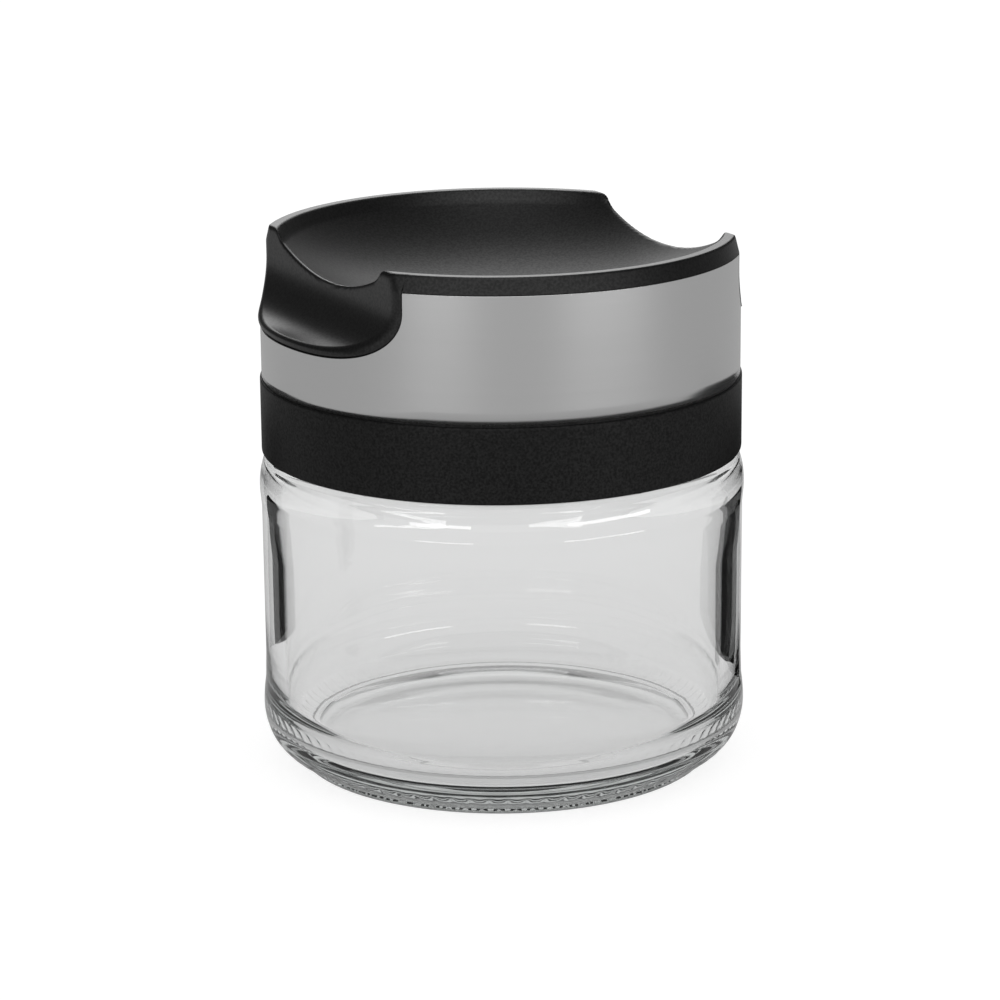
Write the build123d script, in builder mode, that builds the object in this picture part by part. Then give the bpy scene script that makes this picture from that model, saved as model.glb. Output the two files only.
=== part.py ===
from build123d import *
import os

# Airtight storage jar: a moulded glass jar with a wide neck, closed by a screw lid. The lid is a
# black threaded collar, a steel band and a black grip cap with a hand dish and two finger scoops.
# Under the collar a loose sealing disc carries the silicone gasket and turns freely in the lid.
# Frame: origin at the centre of the ring it stands on, +Z up, finger scoops on -X and +X.

# Glass body
foot_radius = 43.1  # ring under the heel that the jar stands on
foot_height = 1.4
foot_bevel = 0.4
foot_width = 1.8
push_up = 0.9  # hollow of the underside at its centre
heel_start = (43.6, 1.6)  # radius and height of points up the outline, from the foot on
heel_flank = (47.5, 4.0)
heel_crease = (49.2, 6.9)
bead_low = (49.77, 8.9)
bead_middle = (50.0, 11.2)  # widest point of the jar
bead_flank = (49.87, 13.7)
bead_top = (49.55, 16.2)
panel_low = (49.38, 22.0)
panel_high = (49.44, 53.5)
step_top = (49.66, 55.8)
shoulder_bead = (49.76, 58.6)  # soft bead under the collar
shoulder_fall = (48.8, 63.4)
shoulder_turn = (48.3, 64.45)
shoulder_edge = 47.2
shoulder_top = 64.9
wall_inside = 45.4
wall_top = 56.5  # from here the inside narrows to the neck
floor_height = 6.2
floor_corner = 8.5

# Glass neck and its thread
neck_radius = 45.2
neck_inside = 41.6
neck_low = 65.5
rim_height = 75.8
rim_round = 1.3
thread_starts = 3
thread_lead = 15.0  # rise of one whole turn
thread_from = 68.0  # height of each ridge's lower end, at its middle
thread_arc = 100.0  # degrees of each ridge
thread_crest = 46.4
ridge_root_width = 2.2
ridge_crest_width = 1.0
ridge_sink = 0.4  # how far a ridge's root lies inside its wall

# Threaded collar
collar_radius = 49.2
collar_inside = 47.0
collar_bottom = 65.2
deck_under = 79.1
deck_top = 81.05
shadow_gap = 0.5  # groove between the collar's edge and the band
land_radius = 48.7  # ring that the band stands on
lug_arc = 50.0
lug_crest = 45.6
lug_drop = 1.7  # lug's middle below the middle of the glass ridge it pulls on
keeper_from = 76.2  # bead that carries the sealing disc when the lid lifts
keeper_height = 1.0
keeper_radius = 46.0
upstand_radius = 46.1
upstand_inside = 43.8
upstand_top = 86.5
snap_height = 84.0
snap_rise = 0.35

# Sealing disc and gasket
disc_radius = 46.5
disc_under = 77.5
disc_play = 0.1  # free height between the disc and the deck
plug_radius = 40.9
plug_wall = 1.4
plug_bottom = 71.5
gasket_inside = 41.0
gasket_radius = 45.0

# Steel band
band_radius = 48.85
band_wall = 0.4
band_top = 106.25

# Grip cap
cap_wall_radius = 48.4
cap_inside = 46.3
cap_skin = 2.2
crest_height = 109.7
crest_radius = 47.8
flange_under = 106.4
dish_depth = 17.8
dish_sphere = 70.6
dish_mouth = 45.5  # the ball cut stops here, so a level land runs round the crest
scoop_wall = 38.65  # distance of the scoop's upright wall from the jar's axis
scoop_floor = 93.4
scoop_sweep = 10.0  # radius from the upright wall out to the floor
window_wall = 37.6  # the same three sizes for the band's cut-out
window_floor = 91.3
window_sweep = 11.0
window_gap = 0.12
lip_low = 48.8  # radius of the lip under each scoop, where it meets the band's cut-out
lip_belly = (49.2, 91.9)
lip_crest = (49.3, 93.0)  # the lip stands proud of the band here
lip_fade = (49.0, 96.0)
lip_end = 99.0  # height where the lip is flush with the band again
ridge_round = 0.9  # where each scoop's upright wall meets the dish and the land
crest_round = 0.3
touch = 0.01  # an edge nearer to a plane than this lies in it

os.makedirs("parts", exist_ok=True)


def thread_ridge(root, crest, low, arc):
    """One ridge of a right-hand thread: a trapezoid carried up a helix from +X at height low."""
    with BuildPart() as ridge:
        with BuildLine(Plane.XY.offset(low)) as path:
            Helix(pitch=thread_lead, height=thread_lead * arc / 360, radius=root)
        section = Plane(origin=path.line @ 0, x_dir=(1, 0, 0), z_dir=path.line % 0)
        with BuildSketch(section):
            with BuildLine():
                Polyline(
                    (0, -ridge_root_width / 2),
                    (crest - root, -ridge_crest_width / 2),
                    (crest - root, ridge_crest_width / 2),
                    (0, ridge_root_width / 2),
                    close=True,
                )
            make_face()
        sweep(path=path.line, is_frenet=True)
    return ridge.part


def dome_radius(half_width, rise):
    """Radius of the ball that a shallow dome of this half width and rise is cut from."""
    return (half_width**2 + rise**2) / (2 * rise)


def scoop_space(wall, floor, sweep_radius):
    """The space on +X and -X outside an upright wall that runs out to a level floor."""
    reach = collar_radius + scoop_sweep
    with BuildPart() as space:
        with BuildSketch(Plane.XZ) as outline:
            with Locations((wall, floor)):
                Rectangle(reach, reach, align=(Align.MIN, Align.MIN))
            corner = outline.vertices().group_by(Axis.Y)[0].sort_by(Axis.X)[0]
            fillet(corner, sweep_radius)
        extrude(amount=reach, both=True)
        mirror(about=Plane.YZ)
    return space.part


# Glass jar: one pressed and blown piece, clear soda-lime glass. The outer line runs from the
# push-up over the foot, heel bead, panel and shoulder bead to the rim, the inner line back down.
jar_ridge = thread_ridge(neck_radius - ridge_sink, thread_crest, thread_from, thread_arc)
foot_edge = foot_radius - foot_bevel
push_up_ball = dome_radius(foot_edge - foot_width, push_up)
with BuildPart() as glass_jar:
    with BuildSketch(Plane.XZ):
        with BuildLine():
            Polyline(
                (0, floor_height),
                (0, 0),
                (foot_edge, 0),
                (foot_radius, foot_bevel),
                (foot_radius, foot_height),
                heel_start,
            )
            ThreePointArc(heel_start, heel_flank, heel_crease)
            ThreePointArc(heel_crease, bead_low, bead_middle)
            ThreePointArc(bead_middle, bead_flank, bead_top)
            Line(bead_top, panel_low)
            Line(panel_low, panel_high)
            Line(panel_high, step_top)
            ThreePointArc(step_top, shoulder_bead, shoulder_fall)
            ThreePointArc(shoulder_fall, shoulder_turn, (shoulder_edge, shoulder_top))
            Polyline(
                (shoulder_edge, shoulder_top),
                (neck_radius, shoulder_top),
                (neck_radius, rim_height - rim_round),
            )
            CenterArc((neck_radius - rim_round, rim_height - rim_round), rim_round, 0, 90)
            Line((neck_radius - rim_round, rim_height), (neck_inside + rim_round, rim_height))
            CenterArc((neck_inside + rim_round, rim_height - rim_round), rim_round, 90, 90)
            Line((neck_inside, rim_height - rim_round), (neck_inside, neck_low))
            Spline(
                (neck_inside, neck_low),
                (wall_inside, wall_top),
                tangents=((0, -1), (0, -1)),
            )
            Line((wall_inside, wall_top), (wall_inside, floor_height + floor_corner))
            CenterArc(
                (wall_inside - floor_corner, floor_height + floor_corner), floor_corner, 270, 90
            )
            Line((wall_inside - floor_corner, floor_height), (0, floor_height))
        make_face()
    revolve(axis=Axis.Z)
    with PolarLocations(0, thread_starts):
        add(jar_ridge)
    with Locations((0, 0, push_up - push_up_ball)):
        Sphere(push_up_ball, mode=Mode.SUBTRACT)
glass_jar.part.label = "glass_jar"
export_step(glass_jar.part, "parts/glass_jar.step")

# Threaded collar: black polypropylene. A skirt with three thread lugs hangs from a flat deck, and
# an upstand on the deck holds the grip cap by a snap bead.
lug_lead_in = (thread_arc - lug_arc) / 2
lug_from = thread_from + thread_lead * lug_lead_in / 360 - lug_drop
collar_lug = thread_ridge(collar_inside + ridge_sink, lug_crest, lug_from, lug_arc)
with BuildPart() as screw_collar:
    with BuildSketch(Plane.XZ) as section:
        with BuildLine():
            Polyline(
                (0, deck_under),
                (collar_inside, deck_under),
                (collar_inside, keeper_from + keeper_height),
                (keeper_radius, keeper_from + keeper_height),
                (keeper_radius, keeper_from + keeper_height / 2),
                (collar_inside, keeper_from - keeper_height / 2),
                (collar_inside, collar_bottom),
                (collar_radius, collar_bottom),
                (collar_radius, deck_top - shadow_gap),
                (land_radius, deck_top - shadow_gap),
                (land_radius, deck_top),
                (upstand_radius, deck_top),
                (upstand_radius, snap_height),
                (upstand_radius + snap_rise, snap_height + snap_rise),
                (upstand_radius, snap_height + 2 * snap_rise),
                (upstand_radius, upstand_top),
                (upstand_inside, upstand_top),
                (upstand_inside, deck_top),
                (0, deck_top),
                close=True,
            )
        make_face()
        outer_corners = section.vertices().group_by(Axis.X)[-1]
        fillet(outer_corners, shadow_gap)
    revolve(axis=Axis.Z)
    with PolarLocations(0, thread_starts, start_angle=lug_lead_in):
        add(collar_lug)
screw_collar.part.label = "screw_collar"
export_step(screw_collar.part, "parts/screw_collar.step")

# Sealing disc: natural polypropylene, a flat flange over the rim and a plug that hangs into the
# mouth. Its edge rests on the collar's keeper bead when the lid is off.
disc_top = deck_under - disc_play
with BuildPart() as sealing_disc:
    with BuildSketch(Plane.XZ):
        with BuildLine():
            Polyline(
                (0, disc_under),
                (plug_radius - plug_wall, disc_under),
                (plug_radius - plug_wall, plug_bottom),
                (plug_radius, plug_bottom),
                (plug_radius, disc_under),
                (disc_radius, disc_under),
                (disc_radius, disc_top),
                (0, disc_top),
                close=True,
            )
        make_face()
    revolve(axis=Axis.Z)
sealing_disc.part.label = "sealing_disc"
export_step(sealing_disc.part, "parts/sealing_disc.step")

# Gasket: a flat moulded silicone ring round the plug, pressed between the disc and the glass rim.
with BuildPart() as silicone_gasket:
    with BuildSketch(Plane.XY.offset(rim_height)):
        Circle(gasket_radius)
        Circle(gasket_inside, mode=Mode.SUBTRACT)
    extrude(amount=disc_under - rim_height)
silicone_gasket.part.label = "silicone_gasket"
export_step(silicone_gasket.part, "parts/silicone_gasket.step")

# Steel band: a rolled stainless sleeve 0.4 mm thick with a cut-out under each scoop.
window_space = scoop_space(window_wall, window_floor, window_sweep)
with BuildPart() as steel_band:
    with BuildSketch(Plane.XY.offset(deck_top)):
        Circle(band_radius)
        Circle(band_radius - band_wall, mode=Mode.SUBTRACT)
    extrude(amount=band_top - deck_top)
    add(window_space, mode=Mode.SUBTRACT)
steel_band.part.label = "steel_band"
export_step(steel_band.part, "parts/steel_band.step")

# Grip cap: black polypropylene shell. A ball hollows the hand dish, an upright wall with a
# quarter-round foot cuts each finger scoop, and a lip fills the band's cut-outs.
ball_height = crest_height - dish_depth + dish_sphere
hollow_under = scoop_space(scoop_wall - cap_skin, scoop_floor - cap_skin, scoop_sweep + cap_skin)
scoop_cut = scoop_space(scoop_wall, scoop_floor, scoop_sweep)
pad_space = scoop_space(window_wall + window_gap, window_floor + window_gap, window_sweep)
with BuildPart() as cap_hollow:
    with BuildSketch(Plane.XY.offset(deck_top)):
        Circle(cap_inside)
    extrude(amount=crest_height - deck_top)
    with Locations((0, 0, ball_height)):
        Sphere(dish_sphere + cap_skin, mode=Mode.SUBTRACT)
    add(hollow_under, mode=Mode.SUBTRACT)
    with BuildSketch(Plane.XZ):
        with BuildLine():
            Polyline(
                (cap_inside - snap_rise, snap_height - snap_rise),
                (cap_inside + snap_rise, snap_height + snap_rise),
                (cap_inside - snap_rise, snap_height + 3 * snap_rise),
                close=True,
            )
        make_face()
    revolve(axis=Axis.Z)
with BuildPart() as scoop_pads:
    with BuildSketch(Plane.XZ):
        with BuildLine():
            ThreePointArc((lip_low, window_floor), lip_belly, lip_crest)
            ThreePointArc(lip_crest, lip_fade, (band_radius, lip_end))
            Polyline(
                (band_radius, lip_end),
                (band_radius, flange_under),
                (cap_inside, flange_under),
                (cap_inside, window_floor),
                (lip_low, window_floor),
            )
        make_face()
    revolve(axis=Axis.Z)
    add(pad_space, mode=Mode.INTERSECT)
with BuildPart() as dish_space:
    with BuildSketch(Plane.XY.offset(deck_top)):
        Circle(dish_mouth)
    extrude(amount=crest_height)
    with Locations((0, 0, ball_height)):
        Sphere(dish_sphere, mode=Mode.INTERSECT)
with BuildPart() as grip_cap:
    with BuildSketch(Plane.XZ):
        with BuildLine():
            Polyline(
                (0, deck_top),
                (cap_wall_radius, deck_top),
                (cap_wall_radius, flange_under),
                (band_radius, flange_under),
                (crest_radius, crest_height),
                (0, crest_height),
                close=True,
            )
        make_face()
    revolve(axis=Axis.Z)
    add(scoop_pads.part)
    add(dish_space.part, mode=Mode.SUBTRACT)
    add(scoop_cut, mode=Mode.SUBTRACT)
    wall_foot = scoop_floor + scoop_sweep
    land_end = (crest_radius**2 - scoop_wall**2) ** 0.5
    ridges = [
        edge
        for edge in grip_cap.edges()
        if abs(abs(edge.center().X) - scoop_wall) < touch
        and abs(edge.center().Y) < land_end
        and edge.center().Z > wall_foot + touch
    ]
    fillet(ridges, ridge_round)
    crest_arcs = grip_cap.edges().group_by(Axis.Z)[-1].filter_by(GeomType.CIRCLE)
    fillet(crest_arcs, crest_round)
    add(cap_hollow.part, mode=Mode.SUBTRACT)
grip_cap.part.label = "grip_cap"
export_step(grip_cap.part, "parts/grip_cap.step")
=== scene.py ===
import bpy
import numpy as np
from mathutils import Matrix, Vector


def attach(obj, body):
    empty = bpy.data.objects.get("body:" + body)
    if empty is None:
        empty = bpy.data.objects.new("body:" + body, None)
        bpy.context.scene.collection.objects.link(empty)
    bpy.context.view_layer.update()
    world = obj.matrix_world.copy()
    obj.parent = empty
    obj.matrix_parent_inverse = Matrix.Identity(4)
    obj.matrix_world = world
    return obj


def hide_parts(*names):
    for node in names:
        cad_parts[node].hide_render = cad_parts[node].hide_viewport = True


# Airtight storage jar: clear pressed glass under a screw lid of black plastic with a steel band.
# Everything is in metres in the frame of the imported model; sizes below are in millimetres.
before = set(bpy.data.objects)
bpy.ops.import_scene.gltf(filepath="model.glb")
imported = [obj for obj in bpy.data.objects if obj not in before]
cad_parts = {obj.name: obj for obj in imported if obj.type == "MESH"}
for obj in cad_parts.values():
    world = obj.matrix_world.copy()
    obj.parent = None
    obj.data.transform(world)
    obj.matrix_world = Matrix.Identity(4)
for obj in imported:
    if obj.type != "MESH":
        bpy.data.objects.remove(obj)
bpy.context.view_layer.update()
mm = 0.001

# Camera: a long lens a little above the jar, which stands turned so that one finger scoop shows at
# the left. Its place, tilt and lens come from the round edges of the lid in the photograph.
view_azimuth = np.radians(-27.7)
view_elevation = np.radians(15.24)
view_roll = np.radians(-0.512)
view_distance = 744.5 * mm
view_height = 53.0 * mm  # height of the point on the jar's axis that the camera looks at
view_offset = -0.425 * mm
film_width = 36.0
focal_length = 129.85
glossy_bounces = 8  # light is turned back many times in the thick heel of the glass

back = Vector((-np.sin(view_azimuth), np.cos(view_azimuth), 0))
side = Vector((np.cos(view_azimuth), np.sin(view_azimuth), 0))
up = Vector((0, 0, 1))
forward = back * np.cos(view_elevation) - up * np.sin(view_elevation)
lifted = side.cross(forward)
right_way = side * np.cos(view_roll) + lifted * np.sin(view_roll)
up_way = lifted * np.cos(view_roll) - side * np.sin(view_roll)
stand = up * view_height + side * view_offset - forward * view_distance

camera_data = bpy.data.cameras.new("photo_camera")
camera_data.sensor_width = film_width
camera_data.lens = focal_length
camera_data.clip_start = 0.05
camera_data.clip_end = 50
camera = bpy.data.objects.new("photo_camera", camera_data)
camera.matrix_world = Matrix((right_way, up_way, -forward)).transposed().to_4x4()
camera.location = stand
bpy.context.scene.collection.objects.link(camera)
bpy.context.scene.camera = camera
bpy.context.scene.view_settings.view_transform = "Standard"
bpy.context.scene.cycles.glossy_bounces = glossy_bounces


def add_node(tree, kind, settings=None, links=None):
    """Add one node, set its sockets and properties by name, and link its inputs."""
    node = tree.nodes.new(kind)
    for name, value in (settings or {}).items():
        if isinstance(name, int) or name in node.inputs:
            node.inputs[name].default_value = value
        else:
            setattr(node, name, value)
    for name, output in (links or {}).items():
        tree.links.new(output, node.inputs[name])
    return node


def linear(code):
    """An sRGB hex colour as the linear colour, with alpha, that a shader takes."""
    channels = [int(code[i : i + 2], 16) / 255 for i in (1, 3, 5)]
    return (*[c / 12.92 if c < 0.04045 else ((c + 0.055) / 1.055) ** 2.4 for c in channels], 1)


def new_material(name):
    """An empty node material and its output node."""
    material = bpy.data.materials.new(name)
    material.use_nodes = True
    tree = material.node_tree
    tree.nodes.clear()
    return material, tree, tree.nodes.new("ShaderNodeOutputMaterial")


# Room light. The camera sees plain white. Metal and plastic see a dim room: dark at the sides,
# grey in front, a soft ceiling, and a tall strip of white backdrop that rises behind. Through the
# glass the room is an even pale grey.
backdrop_white = 2.2
side_grey = 0.08
ceiling_grey = 0.95
front_grey = 0.75
right_lift = 0.03
glass_backdrop = 0.9
diffuse_light = 0.8
ceiling_lean = 20  # degrees that the ceiling's middle is in front of straight up
backdrop_middle = Vector((-0.05, 1, 0.65)).normalized()  # sideways, back and up
backdrop_narrow = 1.7  # how much taller than wide the backdrop is
ceiling_middle = up * np.cos(np.radians(ceiling_lean)) - back * np.sin(np.radians(ceiling_lean))
world = bpy.data.worlds.new("studio")
world.use_nodes = True
bpy.context.scene.world = world
sky = world.node_tree
sky.nodes.clear()


def room_seen(tree):
    """The light path node and a socket with the room's brightness for a reflection.

    Each zone is a smooth step of the cosine between the way looked and the zone's middle. The
    backdrop's way is first narrowed sideways, so its zone is a tall oval.
    """
    way = add_node(tree, "ShaderNodeTexCoord").outputs["Generated"]
    turned = add_node(
        tree,
        "ShaderNodeMapping",
        {
            "vector_type": "TEXTURE",
            "Rotation": (0, 0, view_azimuth),
            "Scale": (1 / backdrop_narrow, 1, 1),
        },
        {"Vector": way},
    )
    strip = add_node(
        tree,
        "ShaderNodeVectorMath",
        {"operation": "NORMALIZE"},
        {0: turned.outputs["Vector"]},
    ).outputs["Vector"]
    total = None
    for seen, axis, low, high, gain in (
        (way, ceiling_middle, 0.84, 0.98, ceiling_grey - side_grey),
        (way, -back, 0.2, 0.8, front_grey - side_grey),
        (strip, backdrop_middle, 0.83, 0.95, backdrop_white - side_grey),
        (way, side, 0.0, 1.0, right_lift),
    ):
        lean = add_node(
            tree, "ShaderNodeVectorMath", {"operation": "DOT_PRODUCT", 1: tuple(axis)}, {0: seen}
        )
        zone = add_node(
            tree,
            "ShaderNodeMapRange",
            {
                "interpolation_type": "SMOOTHSTEP",
                "From Min": low,
                "From Max": high,
                "To Min": 0.0,
                "To Max": gain,
            },
            {"Value": lean.outputs["Value"]},
        )
        sum_up = add_node(
            tree, "ShaderNodeMath", {"operation": "ADD", 1: side_grey}, {0: zone.outputs["Result"]}
        )
        if total:
            tree.links.new(total, sum_up.inputs[1])
        total = sum_up.outputs[0]
    return add_node(tree, "ShaderNodeLightPath"), total


def pick(tree, choices, otherwise):
    """Value for the kind of ray: each choice is a light path socket and a value or a socket."""
    answer = otherwise
    for kind, value in choices:
        mix = add_node(tree, "ShaderNodeMix", {"data_type": "FLOAT"}, {"Factor": kind})
        for place, item in (("A", answer), ("B", value)):
            if isinstance(item, (int, float)):
                mix.inputs[place].default_value = item
            else:
                tree.links.new(item, mix.inputs[place])
        answer = mix.outputs["Result"]
    return answer


ray, reflected = room_seen(sky)
shown = pick(
    sky,
    [
        (ray.outputs["Is Glossy Ray"], reflected),
        (ray.outputs["Is Transmission Ray"], glass_backdrop),
        (ray.outputs["Is Camera Ray"], backdrop_white),
    ],
    diffuse_light,
)
glow = add_node(sky, "ShaderNodeBackground", {"Color": (1, 1, 1, 1)}, {"Strength": shown})
add_node(sky, "ShaderNodeOutputWorld", None, {"Surface": glow.outputs["Background"]})


def mesh_object(name, points, faces):
    """A smooth-shaded object at the origin from an array of points and a list of faces."""
    mesh = bpy.data.meshes.new(name)
    mesh.from_pydata(points.tolist(), [], faces)
    mesh.polygons.foreach_set("use_smooth", np.ones(len(mesh.polygons), bool))
    mesh.update()
    made = bpy.data.objects.new(name, mesh)
    bpy.context.scene.collection.objects.link(made)
    return made


# Table: a matt sheet, lifted to white for the camera, so only a faint shadow stays on it. In
# reflections and through the glass it is lifted less.
table_reach = 6.0  # metres from the middle to a side
lift_in_gloss = 0.2
lift_in_glass = 0.53
lift_for_camera = 0.82
lift_for_rest = 0.4
corners = np.array([(-1, -1, 0), (1, -1, 0), (1, 1, 0), (-1, 1, 0)]) * table_reach
table = mesh_object("table", corners, [(0, 1, 2, 3)])
paper, tree, out = new_material("matt white table sheet")
table_ray = add_node(tree, "ShaderNodeLightPath")
table_lift = pick(
    tree,
    [
        (table_ray.outputs["Is Glossy Ray"], lift_in_gloss),
        (table_ray.outputs["Is Transmission Ray"], lift_in_glass),
        (table_ray.outputs["Is Camera Ray"], lift_for_camera),
    ],
    lift_for_rest,
)
sheet_shade = add_node(tree, "ShaderNodeBsdfDiffuse", {"Color": linear("#949494")})
sheet_glow = add_node(
    tree, "ShaderNodeEmission", {"Color": (1, 1, 1, 1)}, {"Strength": table_lift}
)
sheet_sum = add_node(
    tree,
    "ShaderNodeAddShader",
    None,
    {0: sheet_shade.outputs["BSDF"], 1: sheet_glow.outputs["Emission"]},
)
tree.links.new(sheet_sum.outputs["Shader"], out.inputs["Surface"])
table.data.materials.append(paper)


# Soft boxes: two long, low ones in front, a weaker one on the left and a broader one on the right.
lamp_aim = 0.05  # height in metres of the point that they shine at


def soft_box(name, turned, raised, away, size, power):
    """An area lamp aimed at the jar: degrees right of the camera, degrees up, and metres away."""
    data = bpy.data.lights.new(name, "AREA")
    data.shape = "RECTANGLE"
    data.size, data.size_y = size
    data.energy = power
    turned, raised = np.radians(turned), np.radians(raised)
    level = side * np.sin(turned) - back * np.cos(turned)
    lamp = bpy.data.objects.new(name, data)
    way = level * np.cos(raised) + up * np.sin(raised)
    lamp.location = up * lamp_aim + way * away
    lamp.rotation_mode = "QUATERNION"
    lamp.rotation_quaternion = way.to_track_quat("Z", "Y")
    bpy.context.scene.collection.objects.link(lamp)


soft_box("left_box", -28, 6, 0.8, (0.4, 0.05), 0.4)
soft_box("right_box", 50, 6, 0.8, (0.6, 0.05), 0.65)

# Black flags: two cards of the studio, one behind the jar on each side. They show only in
# reflections and through glass, and only their front is black. They draw the dark lines down the
# glass near its edges.
flag_black, tree, out = new_material("black flag cloth")
flag_shade = add_node(tree, "ShaderNodeBsdfDiffuse", {"Color": linear("#202020")})
flag_side = add_node(tree, "ShaderNodeNewGeometry").outputs["Backfacing"]
flag_clear = add_node(tree, "ShaderNodeBsdfTransparent")
flag_face = add_node(
    tree,
    "ShaderNodeMixShader",
    None,
    {0: flag_side, 1: flag_shade.outputs["BSDF"], 2: flag_clear.outputs["BSDF"]},
)
tree.links.new(flag_face.outputs["Shader"], out.inputs["Surface"])


def black_flag(name, left, right):
    """An upright card: how far to the side and behind each end is, and its low and high edge."""
    ends = [(side * (a * mm) + back * (b * mm), low, high) for a, b, low, high in (left, right)]
    low_edge = [place + up * (low * mm) for place, low, _ in ends]
    high_edge = [place + up * (high * mm) for place, _, high in ends]
    points = np.array(low_edge + high_edge[::-1])
    card = mesh_object(name, points, [(0, 1, 2, 3)])
    card.data.materials.append(flag_black)
    card.visible_camera = False
    card.visible_diffuse = False
    card.visible_shadow = False


black_flag("left_flag", (-108, 24, 8, 56), (-67, 27, 12, 66))
black_flag("right_flag", (65, 42, 0, 64), (149, 24, 0, 47))

# Glass jar: pressed and blown soda-lime glass, clear and slightly grey in thick places. It has a
# heel bead, a straight panel, a soft shoulder bead, a neck with three thread ridges, and a cone
# under the bead, knurled with short bars, that runs down to the ring it stands on.
foot_radius = 43.1
foot_height = 1.4
foot_bevel = 0.4
foot_width = 1.8
push_up = 0.9
heel_start = (43.6, 1.6)  # radius and height of points up the outline, from the foot on
heel_flank = (47.5, 4.0)
heel_crease = (49.2, 6.9)
bead_low = (49.77, 8.9)
bead_middle = (50.0, 11.2)
bead_flank = (49.87, 13.7)
bead_top = (49.55, 16.2)
panel_low = (49.38, 22.0)
panel_high = (49.44, 53.5)
step_top = (49.66, 55.8)
shoulder_bead = (49.76, 58.6)
shoulder_fall = (48.8, 63.4)
shoulder_turn = (48.3, 64.45)
shoulder_edge = 47.2
wall_inside = 45.4
wall_top = 56.5
floor_height = 6.2
floor_corner = 8.5
neck_radius = 45.2
neck_inside = 41.6
neck_low = 65.5
shoulder_top = 64.9
rim_height = 75.8
rim_round = 1.3
thread_starts = 3
thread_lead = 15.0
thread_from = 68.0
thread_arc = 100.0
thread_crest = 46.4
ridge_root = 2.2
ridge_crest = 1.0
knurl_bars = 80
knurl_depth = 0.25
knurl_width = 0.45  # of a groove, as the sine of its angle within one bar
knurl_top = 5.0
wave_middle = 15.0  # height of the settle wave on the inside, which rises towards one side
wave_rise = 4.0
wave_swell = 0.16
wave_width = 1.2
columns = 480


def run(start, end, count):
    """Evenly spaced points on the straight run from start up to, but without, end."""
    share = np.linspace(0, 1, count, endpoint=False)[:, None]
    return np.array(start) * (1 - share) + np.array(end) * share


def turn(centre, radii, start, end, count):
    """Points on an ellipse's arc about centre: radii times cosine and sine of degrees."""
    angle = np.radians(np.linspace(start, end, count, endpoint=False))[:, None]
    unit = np.hstack([np.cos(angle), np.sin(angle)])
    return np.array(centre) + np.array(radii) * unit


def through(start, middle, end, count):
    """Points on the circle through three points, from start up to, but without, end."""
    a, b, c = (complex(*p) for p in (start, middle, end))
    skew = (c - a) / (b - a)
    centre = a + (b - a) * (skew - abs(skew) ** 2) / (2j * skew.imag)
    bend = np.angle((c - centre) / (a - centre))
    if np.angle((b - centre) / (a - centre)) * bend < 0:
        bend -= np.sign(bend) * 2 * np.pi
    spots = centre + (a - centre) * np.exp(1j * bend * np.linspace(0, 1, count, endpoint=False))
    return np.stack([spots.real, spots.imag], 1)


def swing(start, end, count):
    """Points from start towards end, upright at both ends: radius follows a smooth step."""
    share = np.linspace(0, 1, count, endpoint=False)
    ease = share * share * (3 - 2 * share)
    radius = start[0] + (end[0] - start[0]) * ease
    return np.stack([radius, start[1] + (end[1] - start[1]) * share], 1)


def lathe(profile, count=columns, relief=None):
    """Grid of points from a profile of radius and height turned about Z; relief adds to radius.

    Point (i, j) is at radius r_i + relief(angle_j, r_i, z_i), angle j/count of a turn, height z_i.
    """
    angle = np.linspace(0, 2 * np.pi, count, endpoint=False)[None, :]
    radius = profile[:, :1] * np.ones_like(angle)
    height = profile[:, 1:] * np.ones_like(angle)
    lift = relief(angle, radius, height) if relief else (0, 0)
    radius = radius + lift[0]
    height = height + lift[1]
    return np.stack([radius * np.cos(angle), radius * np.sin(angle), height], 2) * mm


def surface(name, grid, poles=False, ring=False):
    """Object from a grid of points that closes round its columns.

    With poles, the first and last rows are single points on the axis. With ring, the last row
    joins the first, as on a gasket.
    """
    rows, count = grid.shape[:2]
    here = np.arange(count)
    there = (here + 1) % count
    faces = []
    if poles:
        points = np.vstack([grid[0, :1], grid[1:-1].reshape(-1, 3), grid[-1, :1]])
        last = len(points) - 1
        inner = rows - 2
        first = 1 + here
        faces += np.stack([np.zeros(count, int), 1 + there, first], 1).tolist()
        base = 1 + (inner - 1) * count
        faces += np.stack([base + here, base + there, np.full(count, last)], 1).tolist()
        start, span = 1, inner - 1
    else:
        points = grid.reshape(-1, 3)
        start, span = 0, rows if ring else rows - 1
    below = np.arange(span)[:, None] * count
    above = (below + count) % (rows * count) if ring else below + count
    quads = np.stack([below + here, below + there, above + there, above + here], 2)
    faces += (start + quads.reshape(-1, 4)).tolist()
    return mesh_object(name, points, faces)


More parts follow.
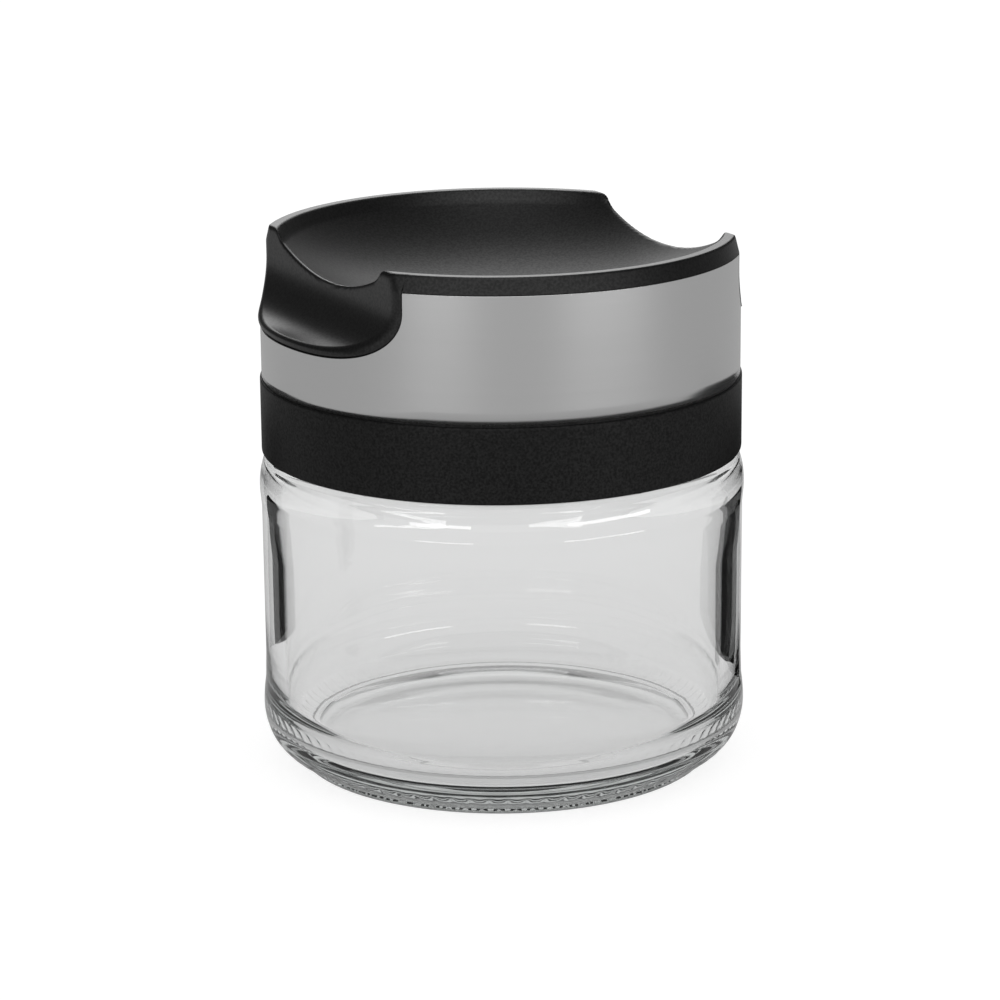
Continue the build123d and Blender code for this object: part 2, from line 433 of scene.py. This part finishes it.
foot_edge = foot_radius - foot_bevel
foot_inside = foot_edge - foot_width
push_ball = (foot_inside**2 + push_up**2) / (2 * push_up)
cap_angle = np.degrees(np.arcsin(foot_inside / push_ball))
rim_low = rim_height - rim_round
floor_turn = floor_height + floor_corner
wave_top = wave_middle + wave_rise + 2 * wave_width
glass_line = np.vstack(
    [
        turn((0, push_up - push_ball), push_ball, 90, 90 - cap_angle, 10),
        run((foot_inside, 0), (foot_edge, 0), 3),
        run((foot_edge, 0), (foot_radius, foot_bevel), 2),
        run((foot_radius, foot_bevel), (foot_radius, foot_height), 3),
        run((foot_radius, foot_height), heel_start, 2),
        through(heel_start, heel_flank, heel_crease, 20),
        through(heel_crease, bead_low, bead_middle, 8),
        through(bead_middle, bead_flank, bead_top, 8),
        run(bead_top, panel_low, 6),
        run(panel_low, panel_high, 4),
        run(panel_high, step_top, 4),
        through(step_top, shoulder_bead, shoulder_fall, 12),
        through(shoulder_fall, shoulder_turn, (shoulder_edge, shoulder_top), 6),
        run((shoulder_edge, shoulder_top), (neck_radius, shoulder_top), 2),
        run((neck_radius, shoulder_top), (neck_radius, rim_low), 34),
        turn((neck_radius - rim_round, rim_low), rim_round, 0, 90, 6),
        run((neck_radius - rim_round, rim_height), (neck_inside + rim_round, rim_height), 2),
        turn((neck_inside + rim_round, rim_low), rim_round, 90, 180, 6),
        run((neck_inside, rim_low), (neck_inside, neck_low), 4),
        swing((neck_inside, neck_low), (wall_inside, wall_top), 14),
        run((wall_inside, wall_top), (wall_inside, wave_top), 3),
        run((wall_inside, wave_top), (wall_inside, floor_turn), 16),
        turn((wall_inside - floor_corner, floor_turn), floor_corner, 360, 270, 20),
        run((wall_inside - floor_corner, floor_height), (0, floor_height), 4),
        [(0, floor_height)],
    ]
)


def glass_relief(angle, radius, height):
    """Thread ridges, heel grooves and the settle wave.

    A ridge is a trapezoid over its helix. A groove is a bell curve round the heel. The wave is a
    bell curve up the inside wall about a tilted ring.
    """
    ridge = np.zeros_like(radius)
    for start in range(thread_starts):
        way = (np.degrees(angle) - 360 / thread_starts * start) % 360
        middle = thread_from + thread_lead * way / 360
        off = np.abs(height - middle)
        slope = (ridge_root / 2 - off) / (ridge_root / 2 - ridge_crest / 2)
        ends = np.clip(np.minimum(way, thread_arc - way) / 4.0, 0, 1)
        ridge = np.maximum(ridge, np.clip(slope, 0, 1) * ends)
    on_neck = (np.abs(radius - neck_radius) < 0.01) & (height < rim_low)
    ridge *= on_neck * (thread_crest - neck_radius)
    groove = knurl_depth * np.exp(-((np.sin(knurl_bars / 2 * angle) / knurl_width) ** 2))
    on_heel = np.clip(height - foot_bevel, 0, 1) * np.clip(knurl_top - height, 0, 1)
    ring = wave_middle + wave_rise * np.sin(angle - view_azimuth)
    swell = wave_swell * np.exp(-(((height - ring) / wave_width) ** 2))
    inside = (radius < wall_inside + 0.01) & (height > floor_height + 0.01)
    return ridge - groove * on_heel * (radius > foot_edge - 0.1) - swell * inside, 0


glass_jar = surface("glass_jar_body", lathe(glass_line, relief=glass_relief), poles=True)

glass, tree, out = new_material("clear pressed soda-lime glass")
# Soda-lime glass, IOR 1.52, polished by the flame: clear. It takes up a little light on the way,
# so the thick heel and the edges look faintly grey.
glass_absorbs = 18.0  # for each metre of glass
glass_shade = add_node(
    tree,
    "ShaderNodeBsdfPrincipled",
    {
        "Base Color": linear("#FFFFFF"),
        "Roughness": 0.0,
        "IOR": 1.52,
        "Transmission Weight": 1.0,
    },
)
tree.links.new(glass_shade.outputs["BSDF"], out.inputs["Surface"])
glass_depth = add_node(
    tree, "ShaderNodeVolumeAbsorption", {"Color": linear("#C8CBCA"), "Density": glass_absorbs}
)
tree.links.new(glass_depth.outputs["Volume"], out.inputs["Volume"])
glass_jar.data.materials.append(glass)
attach(glass_jar, "jar")
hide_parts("glass_jar")

# Sealing disc: natural polypropylene, a flat flange over the rim with a plug that hangs into the
# mouth. It is loose in the collar and is carried by the collar's keeper bead.
disc_radius = 46.5
disc_under = 77.5
disc_top = 79.0
disc_round = 0.25
plug_radius = 40.9
plug_wall = 1.4
plug_bottom = 71.5
ring_columns = 240


def rounded(corners, reach, closed=False, steps=4, guard=1.6):
    """Outline through corners, each rounded over its reach, with a guard point on both sides.

    The round is the parabola whose ends lie reach away from the corner on its two sides. A guard
    point lies guard times as far off and keeps the smooth shading off the flat beside the round.
    """
    corners = np.array(corners, float)
    reach = np.broadcast_to(reach, len(corners))
    line = []
    for i, corner in enumerate(corners):
        if not closed and i in (0, len(corners) - 1):
            line.append(corner)
            continue
        before = corners[i - 1] - corner
        after = corners[(i + 1) % len(corners)] - corner
        before /= np.hypot(*before)
        after /= np.hypot(*after)
        share = np.linspace(0, 1, steps + 1)[:, None]
        bend = before * (1 - share) ** 2 + after * share**2
        line.append(corner + before * reach[i] * guard)
        line.extend(corner + bend * reach[i])
        line.append(corner + after * reach[i] * guard)
    return np.array(line)


disc_line = rounded(
    [
        (0, disc_under),
        (plug_radius - plug_wall, disc_under),
        (plug_radius - plug_wall, plug_bottom),
        (plug_radius, plug_bottom),
        (plug_radius, disc_under),
        (disc_radius, disc_under),
        (disc_radius, disc_top),
        (0, disc_top),
    ],
    disc_round,
)
sealing_disc = surface("sealing_disc_moulding", lathe(disc_line, ring_columns), poles=True)
natural, tree, out = new_material("natural polypropylene")
# Unpigmented polypropylene, injection moulded: milky white, satin, a little light passes through.
natural_shade = add_node(
    tree,
    "ShaderNodeBsdfPrincipled",
    {"Base Color": linear("#D9DBDA"), "Roughness": 0.38, "IOR": 1.49},
)
tree.links.new(natural_shade.outputs["BSDF"], out.inputs["Surface"])
sealing_disc.data.materials.append(natural)
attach(sealing_disc, "seal")
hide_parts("sealing_disc")

# Gasket: a flat ring of translucent silicone rubber between the disc and the glass rim.
gasket_inside = 41.0
gasket_radius = 45.0
gasket_round = 0.3
gasket_line = rounded(
    [
        (gasket_inside, rim_height),
        (gasket_radius, rim_height),
        (gasket_radius, disc_under),
        (gasket_inside, disc_under),
    ],
    gasket_round,
    closed=True,
)
gasket = surface("silicone_gasket_ring", lathe(gasket_line, ring_columns), ring=True)
silicone, tree, out = new_material("translucent silicone rubber")
# Silicone rubber, compression moulded: soft matt surface, greyish white.
silicone_shade = add_node(
    tree,
    "ShaderNodeBsdfPrincipled",
    {"Base Color": linear("#CDD0D0"), "Roughness": 0.55, "IOR": 1.41},
)
tree.links.new(silicone_shade.outputs["BSDF"], out.inputs["Surface"])
gasket.data.materials.append(silicone)
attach(gasket, "seal")
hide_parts("silicone_gasket")

# Threaded collar: black polypropylene with a fine spark-eroded grain. Its skirt carries three lugs
# inside, and the steel band stands on its deck behind a narrow shadow groove.
collar_radius = 49.2
collar_inside = 47.0
collar_bottom = 65.2
deck_under = 79.1
deck_top = 81.05
shadow_gap = 0.5
land_radius = 48.7
lug_arc = 50.0
lug_crest = 45.6
lug_drop = 1.7
keeper_from = 76.2
keeper_height = 1.0
keeper_radius = 46.0
upstand_radius = 46.1
upstand_inside = 43.8
upstand_top = 86.5
skirt_high = 72.0  # the lugs lie between these two heights inside the skirt
skirt_low = 66.0
skirt_rows = 22
collar_columns = 400
lug_lead_in = (thread_arc - lug_arc) / 2
collar_line = np.vstack(
    [
        rounded(
            [
                (0, deck_under),
                (collar_inside, deck_under),
                (collar_inside, keeper_from + keeper_height),
                (keeper_radius, keeper_from + keeper_height),
                (keeper_radius, keeper_from + keeper_height / 2),
                (collar_inside, keeper_from - keeper_height / 2),
                (collar_inside, skirt_high),
            ],
            0.15,
        ),
        run((collar_inside, skirt_high - 0.2), (collar_inside, skirt_low + 0.2), skirt_rows),
        rounded(
            [
                (collar_inside, skirt_low),
                (collar_inside, collar_bottom),
                (collar_radius, collar_bottom),
                (collar_radius, deck_top - shadow_gap),
                (land_radius, deck_top - shadow_gap),
                (land_radius, deck_top),
                (upstand_radius, deck_top),
                (upstand_radius, upstand_top),
                (upstand_inside, upstand_top),
                (upstand_inside, deck_top),
                (0, deck_top),
            ],
            [0, 0.25, 0.45, 0.45, 0.1, 0.1, 0.1, 0.2, 0.2, 0.1, 0],
        ),
    ]
)


def lug_relief(angle, radius, height):
    """Lugs inside the skirt: a trapezoid that points inwards over each short helix."""
    lug = np.zeros_like(radius)
    for start in range(thread_starts):
        way = (np.degrees(angle) - 360 / thread_starts * start - lug_lead_in) % 360
        middle = thread_from - lug_drop + thread_lead * (way + lug_lead_in) / 360
        off = np.abs(height - middle)
        slope = (ridge_root / 2 - off) / (ridge_root / 2 - ridge_crest / 2)
        ends = np.clip(np.minimum(way, lug_arc - way) / 3.0, 0, 1)
        lug = np.maximum(lug, np.clip(slope, 0, 1) * ends)
    on_skirt = (np.abs(radius - collar_inside) < 0.01) & (height < skirt_high - 0.1)
    return -lug * on_skirt * (collar_inside - lug_crest), 0


collar_grid = lathe(collar_line, collar_columns, lug_relief)
collar = surface("screw_collar_moulding", collar_grid, poles=True)
grained, tree, out = new_material("grained black polypropylene")
# Polypropylene moulded against spark-eroded steel: matt, with a fine grain of about 0.25 mm.
grain_size = 0.25 * mm
where = add_node(tree, "ShaderNodeTexCoord")
grain = add_node(
    tree,
    "ShaderNodeTexNoise",
    {"Scale": 1 / grain_size / 2, "Detail": 2.0, "Roughness": 0.6},
    {"Vector": where.outputs["Object"]},
)
grain_bump = add_node(
    tree,
    "ShaderNodeBump",
    {"Strength": 0.6, "Distance": 0.08 * mm},
    {"Height": grain.outputs["Fac"]},
)
grain_tone = add_node(
    tree,
    "ShaderNodeMapRange",
    {"From Min": 0.35, "From Max": 0.65, "To Min": 0.15, "To Max": 0.35},
    {"Value": grain.outputs["Fac"]},
)
collar_shade = add_node(
    tree,
    "ShaderNodeBsdfPrincipled",
    {"Base Color": linear("#0A0A0A"), "IOR": 1.49, "Roughness": 0.5},
    {"Normal": grain_bump.outputs["Normal"], "Specular IOR Level": grain_tone.outputs["Result"]},
)
tree.links.new(collar_shade.outputs["BSDF"], out.inputs["Surface"])
collar.data.materials.append(grained)
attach(collar, "lid")
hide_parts("screw_collar")

# Steel band: a sleeve rolled from 0.4 mm stainless sheet with a satin face. Its top is cut down to
# a U under each finger scoop, and its edges are trimmed and slightly rounded.
band_radius = 48.85
band_wall = 0.4
band_top = 106.25
window_wall = 37.6  # distance of the cut-out's upright edge from the jar's middle plane
window_floor = 91.3
window_sweep = 11.0
band_columns = 720
edge_radius = 0.05
stand_off = 0.02  # left between the band or the cap and the collar's deck


def cut_edge(wall, floor, sweep, top, radius, count):
    """Upper edge of a sleeve with a U cut on +X and -X, evenly spaced along its length.

    Going round from -Y, the edge is level at top, goes down the plane x = wall, round an arc of
    the sweep radius to the floor, and up again. Returns angle and height of count points.
    """
    fall = np.arange(0, 1, 0.004)
    outer = wall + sweep
    arc = np.radians(fall * 90)
    bend_x = outer - sweep * np.cos(arc)
    bend_z = floor + sweep - sweep * np.sin(arc)
    keep = bend_x < radius
    drop = np.linspace(top, floor + sweep, 40, endpoint=False)
    flat = np.linspace(-np.pi / 2, -np.arccos(wall / radius), 200, endpoint=False)
    angle = np.concatenate(
        [flat, np.full(len(drop), -np.arccos(wall / radius)), -np.arccos(bend_x[keep] / radius)]
    )
    height = np.concatenate([np.full(len(flat), top), drop, bend_z[keep]])
    angle = np.concatenate([angle, -angle[::-1]])
    height = np.concatenate([height, height[::-1]])
    angle = np.concatenate([angle, angle + np.pi, [1.5 * np.pi]])
    height = np.concatenate([height, height, [top]])
    path = np.hypot(np.diff(angle) * radius, np.diff(height))
    along = np.concatenate([[0], np.cumsum(path)])
    even = np.linspace(0, along[-1], count, endpoint=False)
    return np.interp(even, along, angle), np.interp(even, along, height)


def edge_inward(angle, height, radius):
    """Unit normal of the cut edge within the sheet, towards the metal, as angle and height."""
    across = np.roll(angle, -1) - np.roll(angle, 1)
    across = (across + np.pi) % (2 * np.pi) - np.pi
    rise = np.roll(height, -1) - np.roll(height, 1)
    length = np.hypot(across * radius, rise)
    return rise / length, -across * radius / length


edge_angle, edge_height = cut_edge(
    window_wall, window_floor, window_sweep, band_top, band_radius, band_columns
)
sheet_angle, sheet_rise = edge_inward(edge_angle, edge_height, band_radius)
bottom_angle = -np.pi / 2 + np.arange(band_columns) * 2 * np.pi / band_columns
heights = np.concatenate([np.linspace(0, 0.96, 11), [0.998, 1]])
rows = [(share, band_radius, edge_radius) for share in heights]
for turned in np.radians(np.linspace(90, -90, 11)):
    middle = band_radius - edge_radius if turned >= 0 else band_radius - band_wall + edge_radius
    inset = edge_radius * (1 - np.cos(turned))
    rows.append((1.0, middle + edge_radius * np.sin(turned), inset))
rows += [(share, band_radius - band_wall, edge_radius) for share in heights[::-1]]
grid = []
for share, radius, inset in rows:
    top_angle = edge_angle + sheet_angle * inset / band_radius
    top_height = edge_height + sheet_rise * inset
    low = deck_top + stand_off
    angle = bottom_angle * (1 - share) + top_angle * share
    height = low * (1 - share) + top_height * share
    grid.append(np.stack([radius * np.cos(angle), radius * np.sin(angle), height], 1))
band = surface("steel_band_sleeve", np.array(grid) * mm, ring=True)
steel, tree, out = new_material("satin rolled stainless steel")
# Stainless sheet, rolled and fine satin finished round the sleeve: soft even grey reflection with
# faint drawn lines about 0.3 mm apart that run round the band.
line_pitch = 0.3 * mm
where = add_node(tree, "ShaderNodeTexCoord")
drawn = add_node(
    tree,
    "ShaderNodeMapping",
    {"Scale": (12, 12, 1 / line_pitch / 2)},
    {"Vector": where.outputs["Object"]},
)
lines = add_node(
    tree, "ShaderNodeTexNoise", {"Scale": 1.0, "Detail": 3.0}, {"Vector": drawn.outputs["Vector"]}
)
steel_rough = add_node(
    tree,
    "ShaderNodeMapRange",
    {"From Min": 0.3, "From Max": 0.7, "To Min": 0.25, "To Max": 0.27},
    {"Value": lines.outputs["Fac"]},
)
steel_shade = add_node(
    tree,
    "ShaderNodeBsdfPrincipled",
    {"Base Color": linear("#D8D8D8"), "Metallic": 1.0},
    {"Roughness": steel_rough.outputs["Result"]},
)
tree.links.new(steel_shade.outputs["BSDF"], out.inputs["Surface"])
band.data.materials.append(steel)
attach(band, "lid")
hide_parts("steel_band")

# Grip cap: black polypropylene shell snapped on the collar. A ball hollows the hand dish, an
# upright wall with a quarter-round foot cuts each finger scoop, and a lip fills the band's cut-out.
cap_wall_radius = 48.4
cap_inside = 46.3
cap_skin = 2.2
crest_height = 109.7
crest_radius = 47.8
flange_under = 106.4
dish_depth = 17.8
dish_ball = 70.6
scoop_wall = 38.65
scoop_floor = 93.4
scoop_sweep = 10.0
window_gap = 0.12
lip_proud = 0.4  # the lip under each scoop bulges out past the band
lip_middle = 92.7
lip_reach = 1.6
dish_mouth = 45.5
crest_round = 0.35
mouth_round = 0.8
valley_round = 2.0
ridge_round = 0.8
skin_round = 1.0
cap_columns = 580
cap_rows = 130
hollow_rows = 40
hollow_foot = 8.0  # height over the deck where the hollow's upright wall starts
ray_near = 60.0  # every point of the cap is between these distances from the origin
ray_far = 135.0
ball_height = crest_height - dish_depth + dish_ball


def round_max(a, b, radius):
    """Larger of two distances, with the edge between them rounded to a radius."""
    corner = np.hypot(np.maximum(a + radius, 0), np.maximum(b + radius, 0))
    return np.minimum(-radius, np.maximum(a, b)) + corner


def scoop_cut(x, z, wall, floor, sweep):
    """Distance into the scoop's space: outside the wall, above the floor, round at the foot."""
    out = np.abs(x) - wall - sweep
    over = z - floor - sweep
    in_corner = sweep - np.hypot(np.minimum(out, 0), np.minimum(over, 0))
    return np.where((out < 0) & (over < 0), in_corner, np.minimum(out, over) + sweep)


def cap_outside(p):
    """How far a point is outside the cap: its side, crest, dish and scoops, edges rounded."""
    x, y, z = p
    radius = np.hypot(x, y)
    proud = lip_proud * np.exp(-(((z - lip_middle) / lip_reach) ** 2))
    wall = radius - band_radius - proud
    lean = (band_radius - crest_radius) / (crest_height - flange_under)
    facet = (radius - band_radius + (z - flange_under) * lean) / np.hypot(1, lean)
    shape = round_max(np.maximum(wall, facet), z - crest_height, crest_round)
    ball = dish_ball - np.sqrt(x * x + y * y + (z - ball_height) ** 2)
    dish = -round_max(-ball, radius - dish_mouth, valley_round)
    shape = round_max(shape, dish, mouth_round)
    return round_max(shape, scoop_cut(x, z, scoop_wall, scoop_floor, scoop_sweep), ridge_round)


def cap_within(p):
    """How far a point is outside the hollow under the cap's skin."""
    x, y, z = p
    shape = np.maximum(np.hypot(x, y) - cap_inside, z - flange_under)
    dish = dish_ball + cap_skin - np.sqrt(x * x + y * y + (z - ball_height) ** 2)
    shape = round_max(shape, dish, skin_round)
    cut = scoop_cut(x, z, scoop_wall - cap_skin, scoop_floor - cap_skin, scoop_sweep + cap_skin)
    return round_max(shape, cut, skin_round)


def reach_out(shape, angle, slope):
    """Points where rays from the origin leave a shape, by halving the span forty times."""
    way = np.stack([np.cos(slope) * np.cos(angle), np.cos(slope) * np.sin(angle), np.sin(slope)])
    near = np.full(angle.shape, ray_near)
    far = np.full(angle.shape, ray_far)
    for _ in range(40):
        half = (near + far) / 2
        outside = shape(way * half) > 0
        far = np.where(outside, half, far)
        near = np.where(outside, near, half)
    return np.moveaxis(way * near, 0, -1)


lip_angle, lip_height = cut_edge(
    window_wall + window_gap,
    window_floor + window_gap,
    window_sweep,
    flange_under,
    band_radius,
    cap_columns,
)
even_angle = -np.pi / 2 + np.arange(cap_columns) * 2 * np.pi / cap_columns
share = np.linspace(0, 1, cap_rows)[:, None]
spread = np.clip(share / 0.5, 0, 1)
spread = spread * spread * (3 - 2 * spread)
start_slope = np.arctan2(lip_height, band_radius)
grid_slope = start_slope + (np.pi / 2 - start_slope) * share**1.7
grid_angle = lip_angle * (1 - spread) + even_angle * spread
shown_rows = reach_out(cap_outside, grid_angle, grid_slope)


def ring_at(radius, angle, height):
    """One ring of the cap's columns, at one radius."""
    return np.stack([radius * np.cos(angle), radius * np.sin(angle), height], 1)


hollow_slope = np.arctan2(deck_top + hollow_foot, cap_inside)
under_slope = np.linspace(np.pi / 2, hollow_slope, hollow_rows)[:, None]
under_angle, under_slope = np.broadcast_arrays(even_angle, under_slope)
hidden_rows = reach_out(cap_within, under_angle, under_slope)
cap_foot = np.full(cap_columns, deck_top + stand_off)
joining_rings = [
    ring_at(cap_inside, even_angle, cap_foot),
    ring_at(cap_wall_radius, even_angle, cap_foot),
    ring_at(cap_wall_radius, lip_angle, lip_height),
]
cap_grid = np.concatenate([hidden_rows, joining_rings, shown_rows])
cap = surface("grip_cap_moulding", cap_grid * mm, poles=True)


def field_normals(shape, points):
    """Unit gradient of a distance field, from central differences over twice a small step."""
    step = 0.01
    gradient = np.stack(
        [
            shape((points + step * axis).T) - shape((points - step * axis).T)
            for axis in np.eye(3)
        ],
        1,
    )
    return gradient / np.linalg.norm(gradient, axis=1, keepdims=True)


cap_points = np.array([v.co for v in cap.data.vertices]) / mm
cap_normals = np.array([v.vector for v in cap.data.vertex_normals])
shown_from = 1 + (len(hidden_rows) - 1 + len(joining_rings)) * cap_columns
cap_normals[shown_from:] = field_normals(cap_outside, cap_points[shown_from:])
cap.data.normals_split_custom_set_from_vertices(cap_normals.tolist())

moulded, tree, out = new_material("smooth black polypropylene")
# Polypropylene moulded against a fine matt steel: deep black with a soft sheen and faint specks.
# The real grain, near 0.1 mm, is too fine to show, so it is drawn 0.25 mm across.
where = add_node(tree, "ShaderNodeTexCoord")
fine_size = 0.25 * mm
fine = add_node(
    tree,
    "ShaderNodeTexNoise",
    {"Scale": 1 / fine_size / 2, "Detail": 1.0},
    {"Vector": where.outputs["Object"]},
)
fine_bump = add_node(
    tree,
    "ShaderNodeBump",
    {"Strength": 0.3, "Distance": 0.04 * mm},
    {"Height": fine.outputs["Fac"]},
)
fine_tone = add_node(
    tree,
    "ShaderNodeMapRange",
    {"From Min": 0.35, "From Max": 0.65, "To Min": 0.4, "To Max": 0.6},
    {"Value": fine.outputs["Fac"]},
)
cap_shade = add_node(
    tree,
    "ShaderNodeBsdfPrincipled",
    {"Base Color": linear("#0A0A0A"), "Roughness": 0.36, "IOR": 1.49},
    {"Normal": fine_bump.outputs["Normal"], "Specular IOR Level": fine_tone.outputs["Result"]},
)
tree.links.new(cap_shade.outputs["BSDF"], out.inputs["Surface"])
cap.data.materials.append(moulded)
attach(cap, "lid")
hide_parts("grip_cap")
